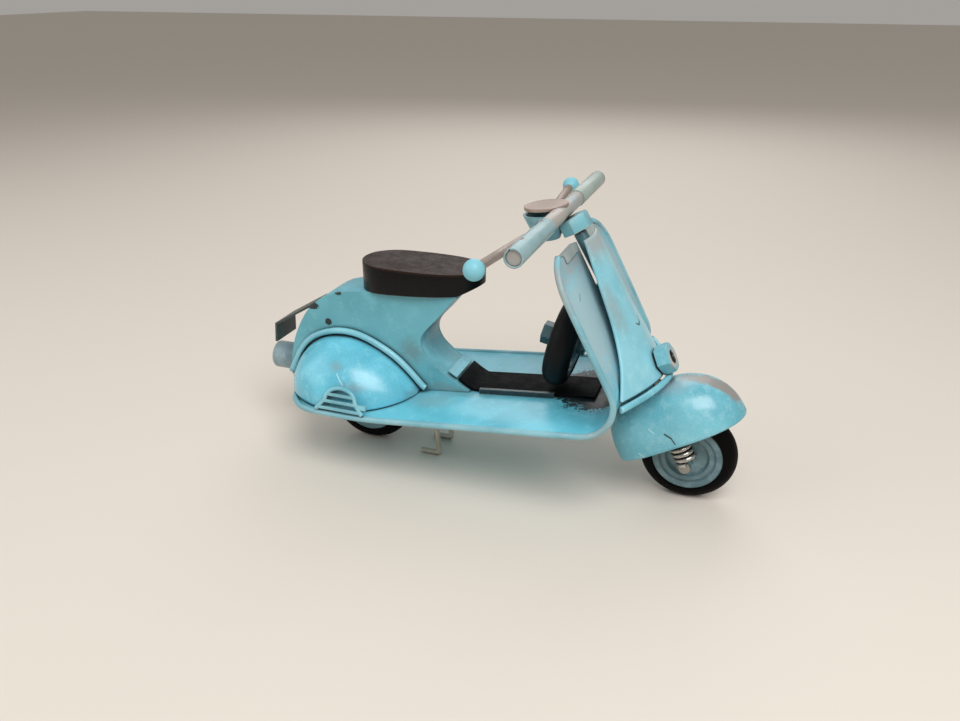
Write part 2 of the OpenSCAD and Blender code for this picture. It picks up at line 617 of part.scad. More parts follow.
leg_y = 8;
leg_r = 1.4;
wheel_u = (front_x - steer_foot_x) * cos(steer_rake);
wheel_v = (steer_foot_x - front_x) * sin(steer_rake);
leg_u = wheel_u + 1.3;
module fork_yoke() color(dark_blue) on_steering() difference() {
    union() {
        translate([-2.6, -leg_y, crown_v]) cube([5.2, 2 * leg_y, 2]);
        translate([0, 0, crown_v]) cylinder(h = 4.2, r = 3, $fn = round_fn);
        for (s = [-1, 1]) {
            translate([leg_u, s * leg_y, wheel_v]) cylinder(h = crown_v + 1 - wheel_v, r = leg_r,
                $fn = round_fn);
            rod_y(wheel_u, wheel_v, s > 0 ? leg_y - 1.6 : -leg_y - 1.6,
                s > 0 ? leg_y + 1.6 : -leg_y + 1.6, 1.9);
        }
    }
    rod_y(wheel_u, wheel_v, -leg_y - 3, leg_y + 3, axle_r + 0.02);
    translate([0, 0, stem_low_v]) cylinder(h = 8, r = stem_r + 0.02, $fn = round_fn);
}

// Coil around the right fork leg, from its outer side just over the axle
spring_low_v = wheel_v + 1.2;
spring_turns = 7;
spring_pitch = 1.7;
module fork_spring() color(steel) {
    coil_r = (spring_d - spring_wire) / 2;
    steps = 16;
    path = [for (k = [0:spring_turns * steps]) let (a = 360 * k / steps - 90)
        steer_point(leg_u + coil_r * cos(a), -leg_y + coil_r * sin(a),
            spring_low_v + spring_pitch * k / steps)];
    axis_dir = [-sin(steer_rake), 0, cos(steer_rake)];
    tube_along(path, spring_wire / 2, 8, axis_dir);
}

// Pin with a flat head on the right, inside the spring, and a nut on the left
module front_axle() color(steel) {
    rod_y(front_x, wheel_r, -leg_y - 1.7, leg_y + 3.2, axle_r);
    rod_y(front_x, wheel_r, -leg_y - 2, -leg_y - 1.65, 1.75);
}
module front_axle_nut() color(steel) axle_nut(front_x, leg_y + 1.65, -90);

leg_shield_floor();
edge_wire_right();
edge_wire_left();
top_lip_right();
top_lip_left();
front_cover();
cover_trim_rod();
head_tube();
headlamp_nut();
side_panel_right();
side_panel_left();
body_top_strip();
body_front_sheet();
cowl_right();
cowl_left();
cowl_trim_right();
cowl_trim_left();
cooling_grille();
seat();
floor_mat();
mat_rail();
mat_end_strip();
tail_lamp();
tail_bracket();
number_plate();
axle_bracket_right();
axle_bracket_left();
rear_axle();
rear_axle_nuts();
rear_tyre();
rear_discs();
rear_hub();
stand_sleeve();
centre_stand();
spare_tyre();
spare_discs();
spare_hub();
spare_bolt();
spare_nut();
steering_stem();
steering_nut();
mudguard();
fork_yoke();
fork_spring();
front_axle();
front_axle_nut();
handlebar_tube();
grip_right();
grip_left();
headset_cup();
dial_disc();
lever_right();
lever_left();
front_tyre();
front_discs();
front_hub();
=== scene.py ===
import json
import math

import bmesh
import bpy
from mathutils import Matrix, Vector


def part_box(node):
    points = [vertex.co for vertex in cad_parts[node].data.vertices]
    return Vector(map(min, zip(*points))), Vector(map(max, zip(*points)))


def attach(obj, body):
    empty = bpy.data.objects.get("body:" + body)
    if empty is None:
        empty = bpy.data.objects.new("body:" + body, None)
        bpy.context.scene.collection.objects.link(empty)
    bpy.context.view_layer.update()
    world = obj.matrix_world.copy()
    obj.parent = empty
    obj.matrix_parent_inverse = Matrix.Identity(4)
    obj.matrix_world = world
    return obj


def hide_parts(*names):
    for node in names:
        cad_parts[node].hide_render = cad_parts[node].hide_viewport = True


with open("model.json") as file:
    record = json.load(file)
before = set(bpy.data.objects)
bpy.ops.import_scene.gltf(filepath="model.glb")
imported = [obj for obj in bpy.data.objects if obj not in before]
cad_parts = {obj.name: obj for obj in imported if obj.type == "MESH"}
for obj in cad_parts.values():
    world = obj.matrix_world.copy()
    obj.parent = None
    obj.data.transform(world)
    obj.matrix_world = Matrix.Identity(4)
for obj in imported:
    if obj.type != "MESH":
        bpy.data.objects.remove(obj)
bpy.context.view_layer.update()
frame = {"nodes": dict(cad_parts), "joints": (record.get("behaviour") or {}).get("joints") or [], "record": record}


# ---------------------------------------------------------------------------
# Floor board and leg shield
# One strip of 0.8 mm steel sheet, bent up at the front. It is brushed with turquoise enamel, which
# has gone pale and pinkish on the shield and is stained with black paint round the rubber mat.
# ---------------------------------------------------------------------------
MM = 0.001
bodies = frame["record"]["behaviour"]["bodies"]
body_of_node = {node: body for body, nodes in bodies.items() for node in nodes}


def tint(code):
    """An sRGB hex value as linear red, green, blue and alpha."""
    channels = [int(code[i:i + 2], 16) / 255 for i in (1, 3, 5)]
    return [c / 12.92 if c <= 0.04045 else ((c + 0.055) / 1.055) ** 2.4 for c in channels] + [1]


def add(tree, kind, settings=None, inputs=None):
    """Adds a node with its settings; an input is either a constant or a socket to link from."""
    node = tree.nodes.new(kind)
    for name, value in (settings or {}).items():
        setattr(node, name, value)
    for key, value in (inputs or {}).items():
        if isinstance(value, bpy.types.NodeSocket):
            tree.links.new(value, node.inputs[key])
        else:
            node.inputs[key].default_value = value
    return node


def calc(tree, operation, a, b=0.0, c=0.0, clamp=False):
    """One sum of the node tree, returned as its result."""
    settings = {"operation": operation, "use_clamp": clamp}
    return add(tree, "ShaderNodeMath", settings, {0: a, 1: b, 2: c}).outputs[0]


def ramp(tree, value, low, high, start=0.0, end=1.0):
    """value from low to high, turned smoothly into start to end."""
    settings = {"interpolation_type": "SMOOTHSTEP"}
    inputs = {"Value": value, "From Min": low, "From Max": high, "To Min": start, "To Max": end}
    return add(tree, "ShaderNodeMapRange", settings, inputs).outputs[0]


def blend_colour(tree, factor, below, above):
    """above laid over below where factor is 1."""
    inputs = {0: factor, 6: below, 7: above}
    return add(tree, "ShaderNodeMix", {"data_type": "RGBA"}, inputs).outputs[2]


def spot(tree, mm, centre, radii, rough, soft=0.3):
    """Mask of a ragged blot: 1 inside an ellipsoid round centre, both in millimetres."""
    away = add(tree, "ShaderNodeVectorMath", {"operation": "SUBTRACT"}, {0: mm, 1: centre})
    scaled = add(tree, "ShaderNodeVectorMath", {"operation": "DIVIDE"}, {0: away.outputs[0], 1: radii})
    size = add(tree, "ShaderNodeVectorMath", {"operation": "LENGTH"}, {0: scaled.outputs[0]})
    return ramp(tree, calc(tree, "ADD", size.outputs["Value"], rough), 1 - soft, 1, 1, 0)


def scratch(tree, mm, facing, start, end, width):
    """Mask of a scratch from start to end in millimetres, seen along the axis that facing zeroes."""
    start, end = Vector(start) * Vector(facing), Vector(end) * Vector(facing)
    line = end - start
    mm = add(tree, "ShaderNodeVectorMath", {"operation": "MULTIPLY"}, {0: mm, 1: facing}).outputs[0]
    away = add(tree, "ShaderNodeVectorMath", {"operation": "SUBTRACT"}, {0: mm, 1: start}).outputs[0]
    along = add(tree, "ShaderNodeVectorMath", {"operation": "DOT_PRODUCT"},
                {0: away, 1: line / line.length_squared})
    share = calc(tree, "MINIMUM", calc(tree, "MAXIMUM", along.outputs["Value"], 0.0), 1.0)
    near = add(tree, "ShaderNodeVectorMath", {"operation": "SCALE"}, {0: line, "Scale": share})
    gap = add(tree, "ShaderNodeVectorMath", {"operation": "DISTANCE"}, {0: away, 1: near.outputs[0]})
    return ramp(tree, gap.outputs["Value"], width * 0.4, width, 1, 0)


def coat(name, colour, pale, deep, bare="#8d8078", hollow_shade="#2c2622", roughness=0.34, metal=0.0,
         edges=1.0, hollow_shade_strength=1.0, grain_mm=0.7, lumps=1.0, gloss=0.25, shine=0.5, marks=()):
    """A painted or bare surface: cloudy colour, brush texture, rubbed edges and painted shade in the corners.

    marks are (kind, colour, strength, sizes...) laid over the paint in order. A spot has its centre,
    radii and softness; a side or front scratch has its ends and width.
    """
    material = bpy.data.materials.new(name)
    material.use_nodes = True
    tree = material.node_tree
    tree.nodes.clear()
    place = add(tree, "ShaderNodeTexCoord").outputs["Object"]
    mm = add(tree, "ShaderNodeVectorMath", {"operation": "SCALE"}, {0: place, "Scale": 1000}).outputs[0]
    # clouds about 14 mm across, blots about 3 mm and a grain of under a millimetre
    cloud = add(tree, "ShaderNodeTexNoise", None,
                {"Vector": mm, "Scale": 0.07, "Detail": 2.0, "Roughness": 0.5}).outputs["Fac"]
    blots = add(tree, "ShaderNodeTexNoise", None,
                {"Vector": mm, "Scale": 0.33, "Detail": 4.0, "Roughness": 0.62}).outputs["Fac"]
    grain = add(tree, "ShaderNodeTexNoise", None,
                {"Vector": mm, "Scale": 1 / grain_mm, "Detail": 5.0, "Roughness": 0.7}).outputs["Fac"]
    ragged = calc(tree, "MULTIPLY_ADD", calc(tree, "ADD", blots, grain), 0.9, -0.9)

    paint = blend_colour(tree, ramp(tree, cloud, 0.3, 0.66), tint(deep), tint(colour))
    paint = blend_colour(tree, ramp(tree, calc(tree, "ADD", blots, calc(tree, "MULTIPLY", grain, 0.6)),
                                    0.8, 1.0, 0, 0.4), paint, tint(pale))
    # marks: stains and wear, and on some parts painted highlights and painted shade
    marks_and_painted_light = None
    for kind, mark_colour, strength, *sizes in marks:
        if kind == "spot":
            mask = spot(tree, mm, sizes[0], sizes[1], ragged, sizes[2] if len(sizes) > 2 else 0.3)
        else:
            mask = scratch(tree, mm, (1, 0, 1) if kind == "side scratch" else (0, 1, 1), *sizes)
        mask = calc(tree, "MULTIPLY", mask, strength)
        paint = blend_colour(tree, mask, paint, tint(mark_colour))
        marks_and_painted_light = mask if marks_and_painted_light is None else calc(tree, "MAXIMUM", marks_and_painted_light, mask)
    # painted shade: the colour is darkened where two surfaces meet within 2 mm, broken up by noise
    shade_reach = 2 * MM
    hollow = add(tree, "ShaderNodeAmbientOcclusion", {"samples": 5},
                 {"Distance": shade_reach}).outputs["AO"]
    painted_shade = ramp(tree, calc(tree, "ADD", calc(tree, "SUBTRACT", 1.0, hollow),
                            calc(tree, "MULTIPLY", ragged, 0.35)), 0.34, 0.7, 0, 0.9 * hollow_shade_strength)
    paint = blend_colour(tree, painted_shade, paint, tint(hollow_shade))
    # the edge of the sheet is rubbed through over half a millimetre
    edge_band = 0.45 * MM
    rounded = add(tree, "ShaderNodeBevel", {"samples": 4}, {"Radius": edge_band}).outputs[0]
    normal = add(tree, "ShaderNodeNewGeometry").outputs["Normal"]
    turned = add(tree, "ShaderNodeVectorMath", {"operation": "DOT_PRODUCT"}, {0: rounded, 1: normal})
    edge = calc(tree, "SUBTRACT", 1.0, turned.outputs["Value"])
    rubbed = ramp(tree, calc(tree, "ADD", edge, calc(tree, "MULTIPLY", ragged, 0.22)),
                  0.1, 0.26, 0, 0.9 * edges)
    rubbed = calc(tree, "MULTIPLY", rubbed, ramp(tree, hollow, 0.3, 0.6))
    paint = blend_colour(tree, rubbed, paint, tint(bare))

    bump_height = calc(tree, "ADD", calc(tree, "MULTIPLY", grain, 0.55), calc(tree, "MULTIPLY", blots, 1.2))
    bump_height = calc(tree, "SUBTRACT", bump_height, calc(tree, "MULTIPLY", rubbed, 0.8))
    if marks_and_painted_light is not None:
        bump_height = calc(tree, "SUBTRACT", bump_height, calc(tree, "MULTIPLY", marks_and_painted_light, 0.5))
    bump = add(tree, "ShaderNodeBump", None,
               {"Strength": 0.5, "Distance": 0.06 * MM * lumps, "Height": bump_height}).outputs[0]
    uneven = ramp(tree, calc(tree, "ADD", grain, blots), 0.75, 1.3, roughness - 0.06, roughness + 0.16)
    # the roughness rises over the rubbed edges, the marks and the painted shade in the corners
    worn = calc(tree, "MAXIMUM", calc(tree, "MAXIMUM", rubbed, painted_shade), marks_and_painted_light if marks_and_painted_light else 0.0)
    shader = add(tree, "ShaderNodeBsdfPrincipled", None, {
        "Base Color": paint, "Normal": bump, "Coat Weight": gloss, "Coat Roughness": 0.22,
        "Specular IOR Level": shine,
        "Roughness": calc(tree, "MULTIPLY_ADD", worn, 0.22, uneven, clamp=True)})
    if metal:
        shader.inputs["Metallic"].default_value = metal
    else:
        tree.links.new(calc(tree, "MULTIPLY", rubbed, 0.45), shader.inputs["Metallic"])
    add(tree, "ShaderNodeOutputMaterial", None, {"Surface": shader.outputs[0]})
    return material


def place_piece(mesh, node, finish, name=None):
    """Makes a finished mesh into the piece that stands for a CAD node, on that node's body."""
    mesh.materials.clear()
    mesh.materials.append(finish)
    piece = bpy.data.objects.new(name or node + "_finished", mesh)
    bpy.context.scene.collection.objects.link(piece)
    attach(piece, body_of_node[node])
    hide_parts(node)
    return piece


def softened(node, finish, edge_mm=0.12, sharp=48, levels=0):
    """The CAD node's shape with its corners rounded over edge_mm, or subdivided where it is curved."""
    shape = bmesh.new()
    shape.from_mesh(frame["nodes"][node].data)
    bmesh.ops.remove_doubles(shape, verts=shape.verts, dist=0.000004)
    limit = math.radians(sharp)
    if levels:
        bmesh.ops.join_triangles(shape, faces=shape.faces, angle_face_threshold=math.radians(30),
                                 angle_shape_threshold=math.radians(60))
        creases = shape.edges.layers.float.new("crease_edge")
        for edge in shape.edges:
            if edge.calc_face_angle(0) > limit:
                edge[creases] = 0.8
        for face in shape.faces:
            face.smooth = True
    else:
        bmesh.ops.dissolve_limit(shape, angle_limit=math.radians(0.4), verts=shape.verts,
                                 edges=shape.edges)
        for face in shape.faces:
            turns = [edge.calc_face_angle(0) for edge in face.edges]
            face.smooth = any(0.01 < turn < limit for turn in turns)
        corners = [edge for edge in shape.edges if edge.calc_face_angle(0) > limit]
        if corners and edge_mm:
            made = bmesh.ops.bevel(shape, geom=corners, offset=edge_mm * MM, segments=2, profile=0.6,
                                   affect="EDGES", clamp_overlap=True)
            for face in made["faces"]:
                face.smooth = True
    mesh = bpy.data.meshes.new(node + "_mesh")
    shape.to_mesh(mesh)
    shape.free()
    piece = place_piece(mesh, node, finish)
    if levels:
        subdivision = piece.modifiers.new("smooth curve", "SUBSURF")
        subdivision.levels = subdivision.render_levels = levels
    return piece


board_enamel = coat(
    "brushed turquoise enamel on floor sheet", "#68c3d8", "#8fd6e3", "#57b0c5", marks=[
        ("spot", "#a9bcc0", 0.75, (40, 0, 62), (26, 60, 24), 0.5),
        ("spot", "#9b8f88", 0.6, (30, 0, 77), (12, 60, 7), 0.7),
        ("spot", "#12171a", 0.97, (36, 1, 31), (15, 15, 12), 0.06),
        ("spot", "#8fa3a2", 0.4, (-14, -14, 25), (12, 7, 6), 0.8),
        ("spot", "#77736c", 0.3, (-3, -9, 26), (20, 3, 6), 0.9),
        ("front scratch", "#15181b", 0.8, (0, -19.5, 66.3), (0, -17.5, 67.6), 0.22),
    ])
softened("leg_shield_floor", board_enamel, edge_mm=0.15, sharp=40)


# ---------------------------------------------------------------------------
# Edge wires and folded top lip
# Drawn wire soldered along both edges of the sheet. The paint has rubbed thin on it, and silver
# solder shows in specks. The lip is a scrap of sheet folded over the shield's raw top edge.
# ---------------------------------------------------------------------------
wire_enamel = coat("rubbed enamel on soldered edge wire", "#86b9c4", "#a9bdc0", "#6aa4b1", bare="#a8a39b",
                   roughness=0.38, grain_mm=0.5, lumps=1.6, marks=[
                       ("spot", "#a79a92", 0.6, (24, -27, 70), (14, 6, 12), 0.7),
                       ("spot", "#8f9494", 0.4, (40, -28, 33), (9, 6, 7), 0.8)])
lip_enamel = coat("cracked pale paint on folded lip", "#a3b0ae", "#bcbcb6", "#8c9896", bare="#7a5a4c",
                  roughness=0.5, grain_mm=0.45, lumps=2.5)
for side in ("right", "left"):
    softened("edge_wire_" + side, wire_enamel, edge_mm=0, sharp=50, levels=1)
    softened("top_lip_" + side, lip_enamel, edge_mm=0.1)


# ---------------------------------------------------------------------------
# Front cover with its trim rod and head tube
# A tapered sheet rolled over the head tube, enamelled, with a crescent punch mark. A rod lies
# across its foot. Black shows in the gap between the cover and the shield.
# ---------------------------------------------------------------------------
cover_enamel = coat("turquoise enamel on rolled cover", "#8ccbd9", "#a9d8e0", "#79bfce", marks=[
    ("spot", "#a39d97", 0.7, (31, 0, 79), (9, 22, 9), 0.8),
    ("spot", "#9a938d", 0.45, (40, -9, 62), (9, 5, 14), 0.9),
    ("front scratch", "#1b1d1f", 0.95, (43.5, 1.5, 55.9), (44, 0.6, 54.6), 0.35),
    ("front scratch", "#1b1d1f", 0.95, (44, 0.6, 54.6), (44.4, -1, 54.2), 0.35),
    ("front scratch", "#1b1d1f", 0.95, (44.4, -1, 54.2), (44.1, -2.2, 55), 0.28)])
softened("front_cover", cover_enamel, sharp=50, levels=2)
rod_enamel = coat("turquoise enamel on drawn rod", "#7cc3d2", "#a3d3dc", "#62a9ba", roughness=0.3)
softened("cover_trim_rod", rod_enamel, sharp=50, levels=1)
dark_enamel = coat("dark teal enamel", "#3f6a72", "#5b868c", "#2c4c53", bare="#7b7a74", roughness=0.4)
softened("head_tube", dark_enamel)


# ---------------------------------------------------------------------------
# Headlamp
# A plain M5 steel hexagon nut stuck on the cover. Its flats are painted and its face is bare metal,
# and the bore is coloured near black as painted shade.
# ---------------------------------------------------------------------------
lamp_low, lamp_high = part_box("headlamp_nut")
lamp_at = tuple(500 * (low + high) for low, high in zip(lamp_low, lamp_high))
lamp_tilt = math.radians(30)
to_face = 2.4
lamp_face = (lamp_at[0] + to_face * math.cos(lamp_tilt), lamp_at[1],
             lamp_at[2] + to_face * math.sin(lamp_tilt))
lamp_enamel = coat("turquoise enamel on steel nut", "#74b7c5", "#98cbd4", "#5a9dad", bare="#b5aea6",
                   roughness=0.33, edges=1.2, marks=[
                       ("spot", "#b9b3ab", 0.9, lamp_face, (1.9, 4.8, 4.8), 0.3),
                       # painted shade: the nut's bore is coloured near black
                       ("spot", "#0b0c0e", 0.98, lamp_at, (2.95, 2.95, 2.95), 0.08)])
softened("headlamp_nut", lamp_enamel, edge_mm=0.18, sharp=35)


# ---------------------------------------------------------------------------
# Rear body
# Two cut side panels with a strip over the back and a bent sheet down the front. Satin enamel,
# greyer than the rest, with black chips along the top and brown dirt low on the neck.
# ---------------------------------------------------------------------------
panel_enamel = coat("satin turquoise enamel on side panel", "#66adba", "#7dbcc7", "#589fac",
                    roughness=0.42, gloss=0.12, edges=0.8, marks=[
                        ("spot", "#101214", 0.95, (-59.2, -7.8, 49), (2.8, 2, 1.4), 0.12),
                        ("spot", "#101214", 0.9, (-48.9, -7.8, 54.4), (1.3, 2, 0.8), 0.15),
                        ("spot", "#101214", 0.95, (-53.2, -7.8, 43.9), (1.3, 2, 1.3), 0.15),
                        ("spot", "#6f6a63", 0.45, (-24, -7.8, 38), (6, 3, 6), 0.9),
                        ("spot", "#7b7a72", 0.4, (-12, -7.8, 26.5), (12, 3, 3.2), 0.9)])
for side in ("right", "left"):
    softened("side_panel_" + side, panel_enamel, edge_mm=0.12, sharp=40)
strip_enamel = coat("turquoise enamel on body strip", "#6cb6c6", "#8ecbd6", "#5aa3b3", roughness=0.36)
softened("body_top_strip", strip_enamel, edge_mm=0.1, sharp=40)
throat_enamel = coat("turquoise enamel on throat sheet, darker under the seat", "#6fb9c8", "#93cbd6", "#5b9fae",
                     roughness=0.38, marks=[
                         # a dark grey blot in the middle of the sheet, just below the seat's front
                         ("spot", "#4b4a47", 0.8, (-18, 0, 47), (7, 12, 8), 0.8)])
softened("body_front_sheet", throat_enamel, edge_mm=0.1, sharp=40)


# ---------------------------------------------------------------------------
# Cowls, their trim rods and the louvre grille
# Each cowl is a beaten half-pear of sheet, glossy enamel, with a rod bent round its top. The grille
# is a bent rod with three bars soldered across.
# ---------------------------------------------------------------------------
cowl_enamel = coat("glossy turquoise enamel on beaten cowl", "#6cc6dc", "#8bd8e8", "#5cb3ca",
                   roughness=0.27, gloss=0.4, hollow_shade_strength=0.9, marks=[
                       ("spot", "#7a8a88", 0.45, (-37, -24, 30), (6.5, 5, 2.6), 0.9),
                       ("spot", "#7d8f8e", 0.5, (-44, -20, 35), (3, 6, 2), 0.9),
                       ("side scratch", "#b8d9dd", 0.8, (-43, -24, 33.4), (-40.4, -24, 30.6), 0.22),
                       ("spot", "#6b6d69", 0.35, (-22, -12, 25), (5, 7, 3), 0.8)])
trim_enamel = coat("light turquoise enamel on trim rod", "#82c3d0", "#a2d3db", "#69adbd", roughness=0.3)
for side in ("right", "left"):
    softened("cowl_" + side, cowl_enamel, sharp=60, levels=2)
    softened("cowl_trim_" + side, trim_enamel, sharp=50, levels=1)
softened("cooling_grille", trim_enamel, edge_mm=0.1, sharp=50)


# ---------------------------------------------------------------------------
# Seat
# A shaped block, brown and dull over its top face and glossy black round the sides, with
# silver specks along its edges.
# ---------------------------------------------------------------------------
seat_top = 1000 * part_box("seat")[1].z
seat_lacquer = coat("black lacquer on seat block", "#0a0a0b", "#121212", "#060607", bare="#8f8780",
                    hollow_shade="#0c0b0b", roughness=0.3, gloss=0.04, shine=0.16, edges=0.8, grain_mm=0.55,
                    marks=[
                        ("spot", "#24130d", 0.97, (-22, 0, seat_top), (60, 45, 0.9), 0.25)])
softened("seat", seat_lacquer, edge_mm=0.5, sharp=35)


# ---------------------------------------------------------------------------
# Floor mat, rail and end strip
# A strip laid down the middle of the floor in thick black paint, with a dark square rail beside it
# and a roughly brushed light strip across its upper end.
# ---------------------------------------------------------------------------
mat_paint = coat("thick black paint on mat strip", "#080b0d", "#11171a", "#050607", bare="#3c464b",
                 hollow_shade="#060707", roughness=0.55, gloss=0, shine=0.05, edges=0.5)
softened("floor_mat", mat_paint, edge_mm=0.12, sharp=40)
rail_paint = coat("dark paint on square rail", "#20343a", "#35545c", "#121b1e", bare="#8fb1b8",
                  roughness=0.4)
softened("mat_rail", rail_paint, edge_mm=0.1)
softened("mat_end_strip", rod_enamel, edge_mm=0.1)


# ---------------------------------------------------------------------------
# Tail lamp, bracket and number plate
# A short turned slug painted mottled grey-blue, a small bracket below it, and a blank bent plate in
# dull grey-green.
# ---------------------------------------------------------------------------
tail_paint = coat("mottled grey-blue paint on tail lamp", "#7f979e", "#a3b4b7", "#607a83", roughness=0.42)
softened("tail_lamp", tail_paint, edge_mm=0.5)
softened("tail_bracket", coat("stained bare sheet", "#85796d", "#a2978a", "#5f554c", metal=0.7,
                              roughness=0.5))
softened("number_plate", coat("dull grey-green paint on plate", "#2b3836", "#3f4d49", "#1e2725",
                              bare="#9aa7a2", roughness=0.5, edges=0.9), edge_mm=0.1, sharp=40)


# ---------------------------------------------------------------------------
# Wheels
# Three like wheels: a round black tyre pinched between two pressed steel discs with a groove and a
# dished middle, on a turned hub.
# ---------------------------------------------------------------------------
tyre_rubber = coat("black tyre rubber", "#030303", "#080707", "#020202", bare="#1c1714", hollow_shade="#120e0b",
                   roughness=0.55, gloss=0, shine=0.08, edges=0.2, hollow_shade_strength=0.5, grain_mm=0.5)
# painted light: the spare, standing in the open, gets a lighter, bluer copy of the tyre rubber than the two tyres
# under the body and mudguard
lit_spare_rubber = coat("black tyre rubber with painted light", "#060809", "#10161a", "#030405", bare="#1c1a18",
                    hollow_shade="#070a0c", roughness=0.5, gloss=0, shine=0.2, edges=0.2, hollow_shade_strength=0.5, grain_mm=0.5)
disc_enamel = coat("teal-grey enamel on pressed disc", "#688991", "#93acb0", "#527079",
                   bare="#98a3a2", roughness=0.36, edges=1.1)
for where in ("rear", "front", "spare"):
    softened(where + "_tyre", lit_spare_rubber if where == "spare" else tyre_rubber, edge_mm=0.1)
    softened(where + "_discs", disc_enamel, edge_mm=0.08, sharp=30)
    softened(where + "_hub", disc_enamel, edge_mm=0.1)
softened("spare_bolt", dark_enamel, edge_mm=0.25)
softened("spare_nut", dark_enamel, edge_mm=0.15)


# ---------------------------------------------------------------------------
# Axles, nuts and brackets
# Bare drawn steel rod with plated nuts, held in two cut brackets under the floor.
# ---------------------------------------------------------------------------
bare_rod = coat("dull drawn steel", "#a9a59d", "#c4c0b8", "#86817a", bare="#d0ccc4", metal=0.95,
                roughness=0.36, edges=0.4, grain_mm=0.4)
plated_nut = coat("stained zinc plate on nut", "#a69d8c", "#c0b8a8", "#7d7466", bare="#cfc9bd", metal=0.85,
                  roughness=0.45, edges=0.7, grain_mm=0.35, lumps=2)
for node in ("rear_axle", "front_axle"):
    softened(node, bare_rod, edge_mm=0.15)
for node in ("rear_axle_nuts", "front_axle_nut"):
    softened(node, plated_nut, edge_mm=0.12, sharp=35)
for node in ("axle_bracket_right", "axle_bracket_left"):
    softened(node, dark_enamel, edge_mm=0.08)


# ---------------------------------------------------------------------------
# Centre stand
# One wire bent into two legs with turned-back feet, hinged in a short soldered sleeve.
# ---------------------------------------------------------------------------
softened("stand_sleeve", dark_enamel, edge_mm=0.1)
stand_paint = coat("pale scraped steel wire", "#cbc4b6", "#dcd6cb", "#a8a091", bare="#e2ddd2",
                   roughness=0.45)
softened("centre_stand", stand_paint, edge_mm=0, sharp=50)


# ---------------------------------------------------------------------------
# Mudguard, fork and spring
# The mudguard is a deep beaten shell over the front wheel, glossy enamel rubbed bare along its
# crest. The fork stands inside it, with a bright coil spring round its right leg.
# ---------------------------------------------------------------------------
guard_enamel = coat("glossy turquoise enamel on beaten mudguard", "#78bfce", "#a3d2dc", "#5fa9ba",
                    roughness=0.27, gloss=0.4, marks=[
                        # painted shade: the low rear of the mudguard, facing the shield under the cover, is darker
                        # teal
                        ("spot", "#5ba2b0", 0.5, (44, -9, 17), (8, 10, 12), 0.9),
                        ("spot", "#8b8580", 0.95, (67, 0, 35.5), (12, 4.4, 6.5), 0.25),
                        # painted highlight: a pale lavender-grey patch on the upper near side of the mudguard
                        ("spot", "#aab0b6", 0.55, (56, -3, 38), (10, 6, 5), 0.8),
                        ("side scratch", "#111315", 0.95, (57.3, 0, 26.2), (59.2, 0, 25.4), 0.36),
                        ("side scratch", "#111315", 0.95, (59.2, 0, 25.4), (60.6, 0, 23.8), 0.28),
                        ("side scratch", "#cfe6ea", 0.8, (52.5, 0, 26.6), (54.3, 0, 25.7), 0.16),
                        ("side scratch", "#cfe6ea", 0.7, (50.6, 0, 18.4), (52.8, 0, 17.3), 0.2)])
softened("mudguard", guard_enamel, sharp=60, levels=2)
softened("fork_yoke", dark_enamel, edge_mm=0.1)

# The spring is wound by Geometry Nodes from its turns, coil radius, pitch and wire, round an axis
# that leans with the steering.
spring_steel = coat("bright spring steel", "#c6c3bd", "#dedbd6", "#9c9891", bare="#e8e5e0",
                    hollow_shade="#1a1715", metal=1.0, roughness=0.26, edges=0.2, lumps=0.5)
steering_joint = [j for j in frame["joints"] if j["name"] == "steering_turn"][0]
steering_axis = Vector(steering_joint["axis"]).normalized()
winding = bpy.data.node_groups.new("wound spring", "GeometryNodeTree")
sizes = {"Turns": 7.0, "Coil Radius": 2.725 * MM, "Pitch": 1.7 * MM, "Wire Radius": 0.675 * MM}
for socket_name in sizes:
    winding.interface.new_socket(socket_name, in_out="INPUT", socket_type="NodeSocketFloat")
winding.interface.new_socket("Spring", in_out="OUTPUT", socket_type="NodeSocketGeometry")
given = add(winding, "NodeGroupInput").outputs
rise = add(winding, "ShaderNodeMath", {"operation": "MULTIPLY"},
           {0: given["Turns"], 1: given["Pitch"]}).outputs[0]
helix = add(winding, "GeometryNodeCurveSpiral", None, {
    "Resolution": 40, "Rotations": given["Turns"], "Start Radius": given["Coil Radius"],
    "End Radius": given["Coil Radius"], "Height": rise}).outputs[0]
section = add(winding, "GeometryNodeCurvePrimitiveCircle", None,
              {"Resolution": 20, "Radius": given["Wire Radius"]}).outputs[0]
wound = add(winding, "GeometryNodeCurveToMesh", None,
            {"Curve": helix, "Profile Curve": section, "Fill Caps": True}).outputs[0]
smooth = add(winding, "GeometryNodeSetShadeSmooth", None, {0: wound}).outputs[0]
realized = add(winding, "GeometryNodeRealizeInstances", None, {0: smooth}).outputs[0]
finished = add(winding, "GeometryNodeSetMaterial", None, {0: realized, "Material": spring_steel}).outputs[0]
add(winding, "NodeGroupOutput", None, {0: finished})


def made_by(tree, values, source=None):
    """Runs a Geometry Nodes tree once on source, or on nothing, and returns the plain mesh."""
    holder = bpy.data.objects.new("holder", source or bpy.data.meshes.new("nothing"))
    bpy.context.scene.collection.objects.link(holder)
    modifier = holder.modifiers.new("maker", "NODES")
    modifier.node_group = tree
    for item in tree.interface.items_tree:
        if item.in_out == "INPUT" and item.name in values:
            modifier[item.identifier] = values[item.name]
    evaluated = holder.evaluated_get(bpy.context.evaluated_depsgraph_get())
    mesh = bpy.data.meshes.new_from_object(evaluated)
    bpy.data.objects.remove(holder)
    return mesh


spring_mesh = made_by(winding, sizes)
spring_low, spring_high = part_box("fork_spring")
spring_mid = (spring_low + spring_high) / 2
spring_mesh.transform(Matrix.Translation((0, 0, -sizes["Turns"] * sizes["Pitch"] / 2)))
# the wire starts at the outer side of the fork leg
spring_mesh.transform(Matrix.Rotation(-math.pi / 2, 4, "Z"))
spring_mesh.transform(Matrix.Rotation(math.atan2(steering_axis.x, steering_axis.z), 4, "Y"))
spring_mesh.transform(Matrix.Translation(spring_mid))
place_piece(spring_mesh, "fork_spring", spring_steel)


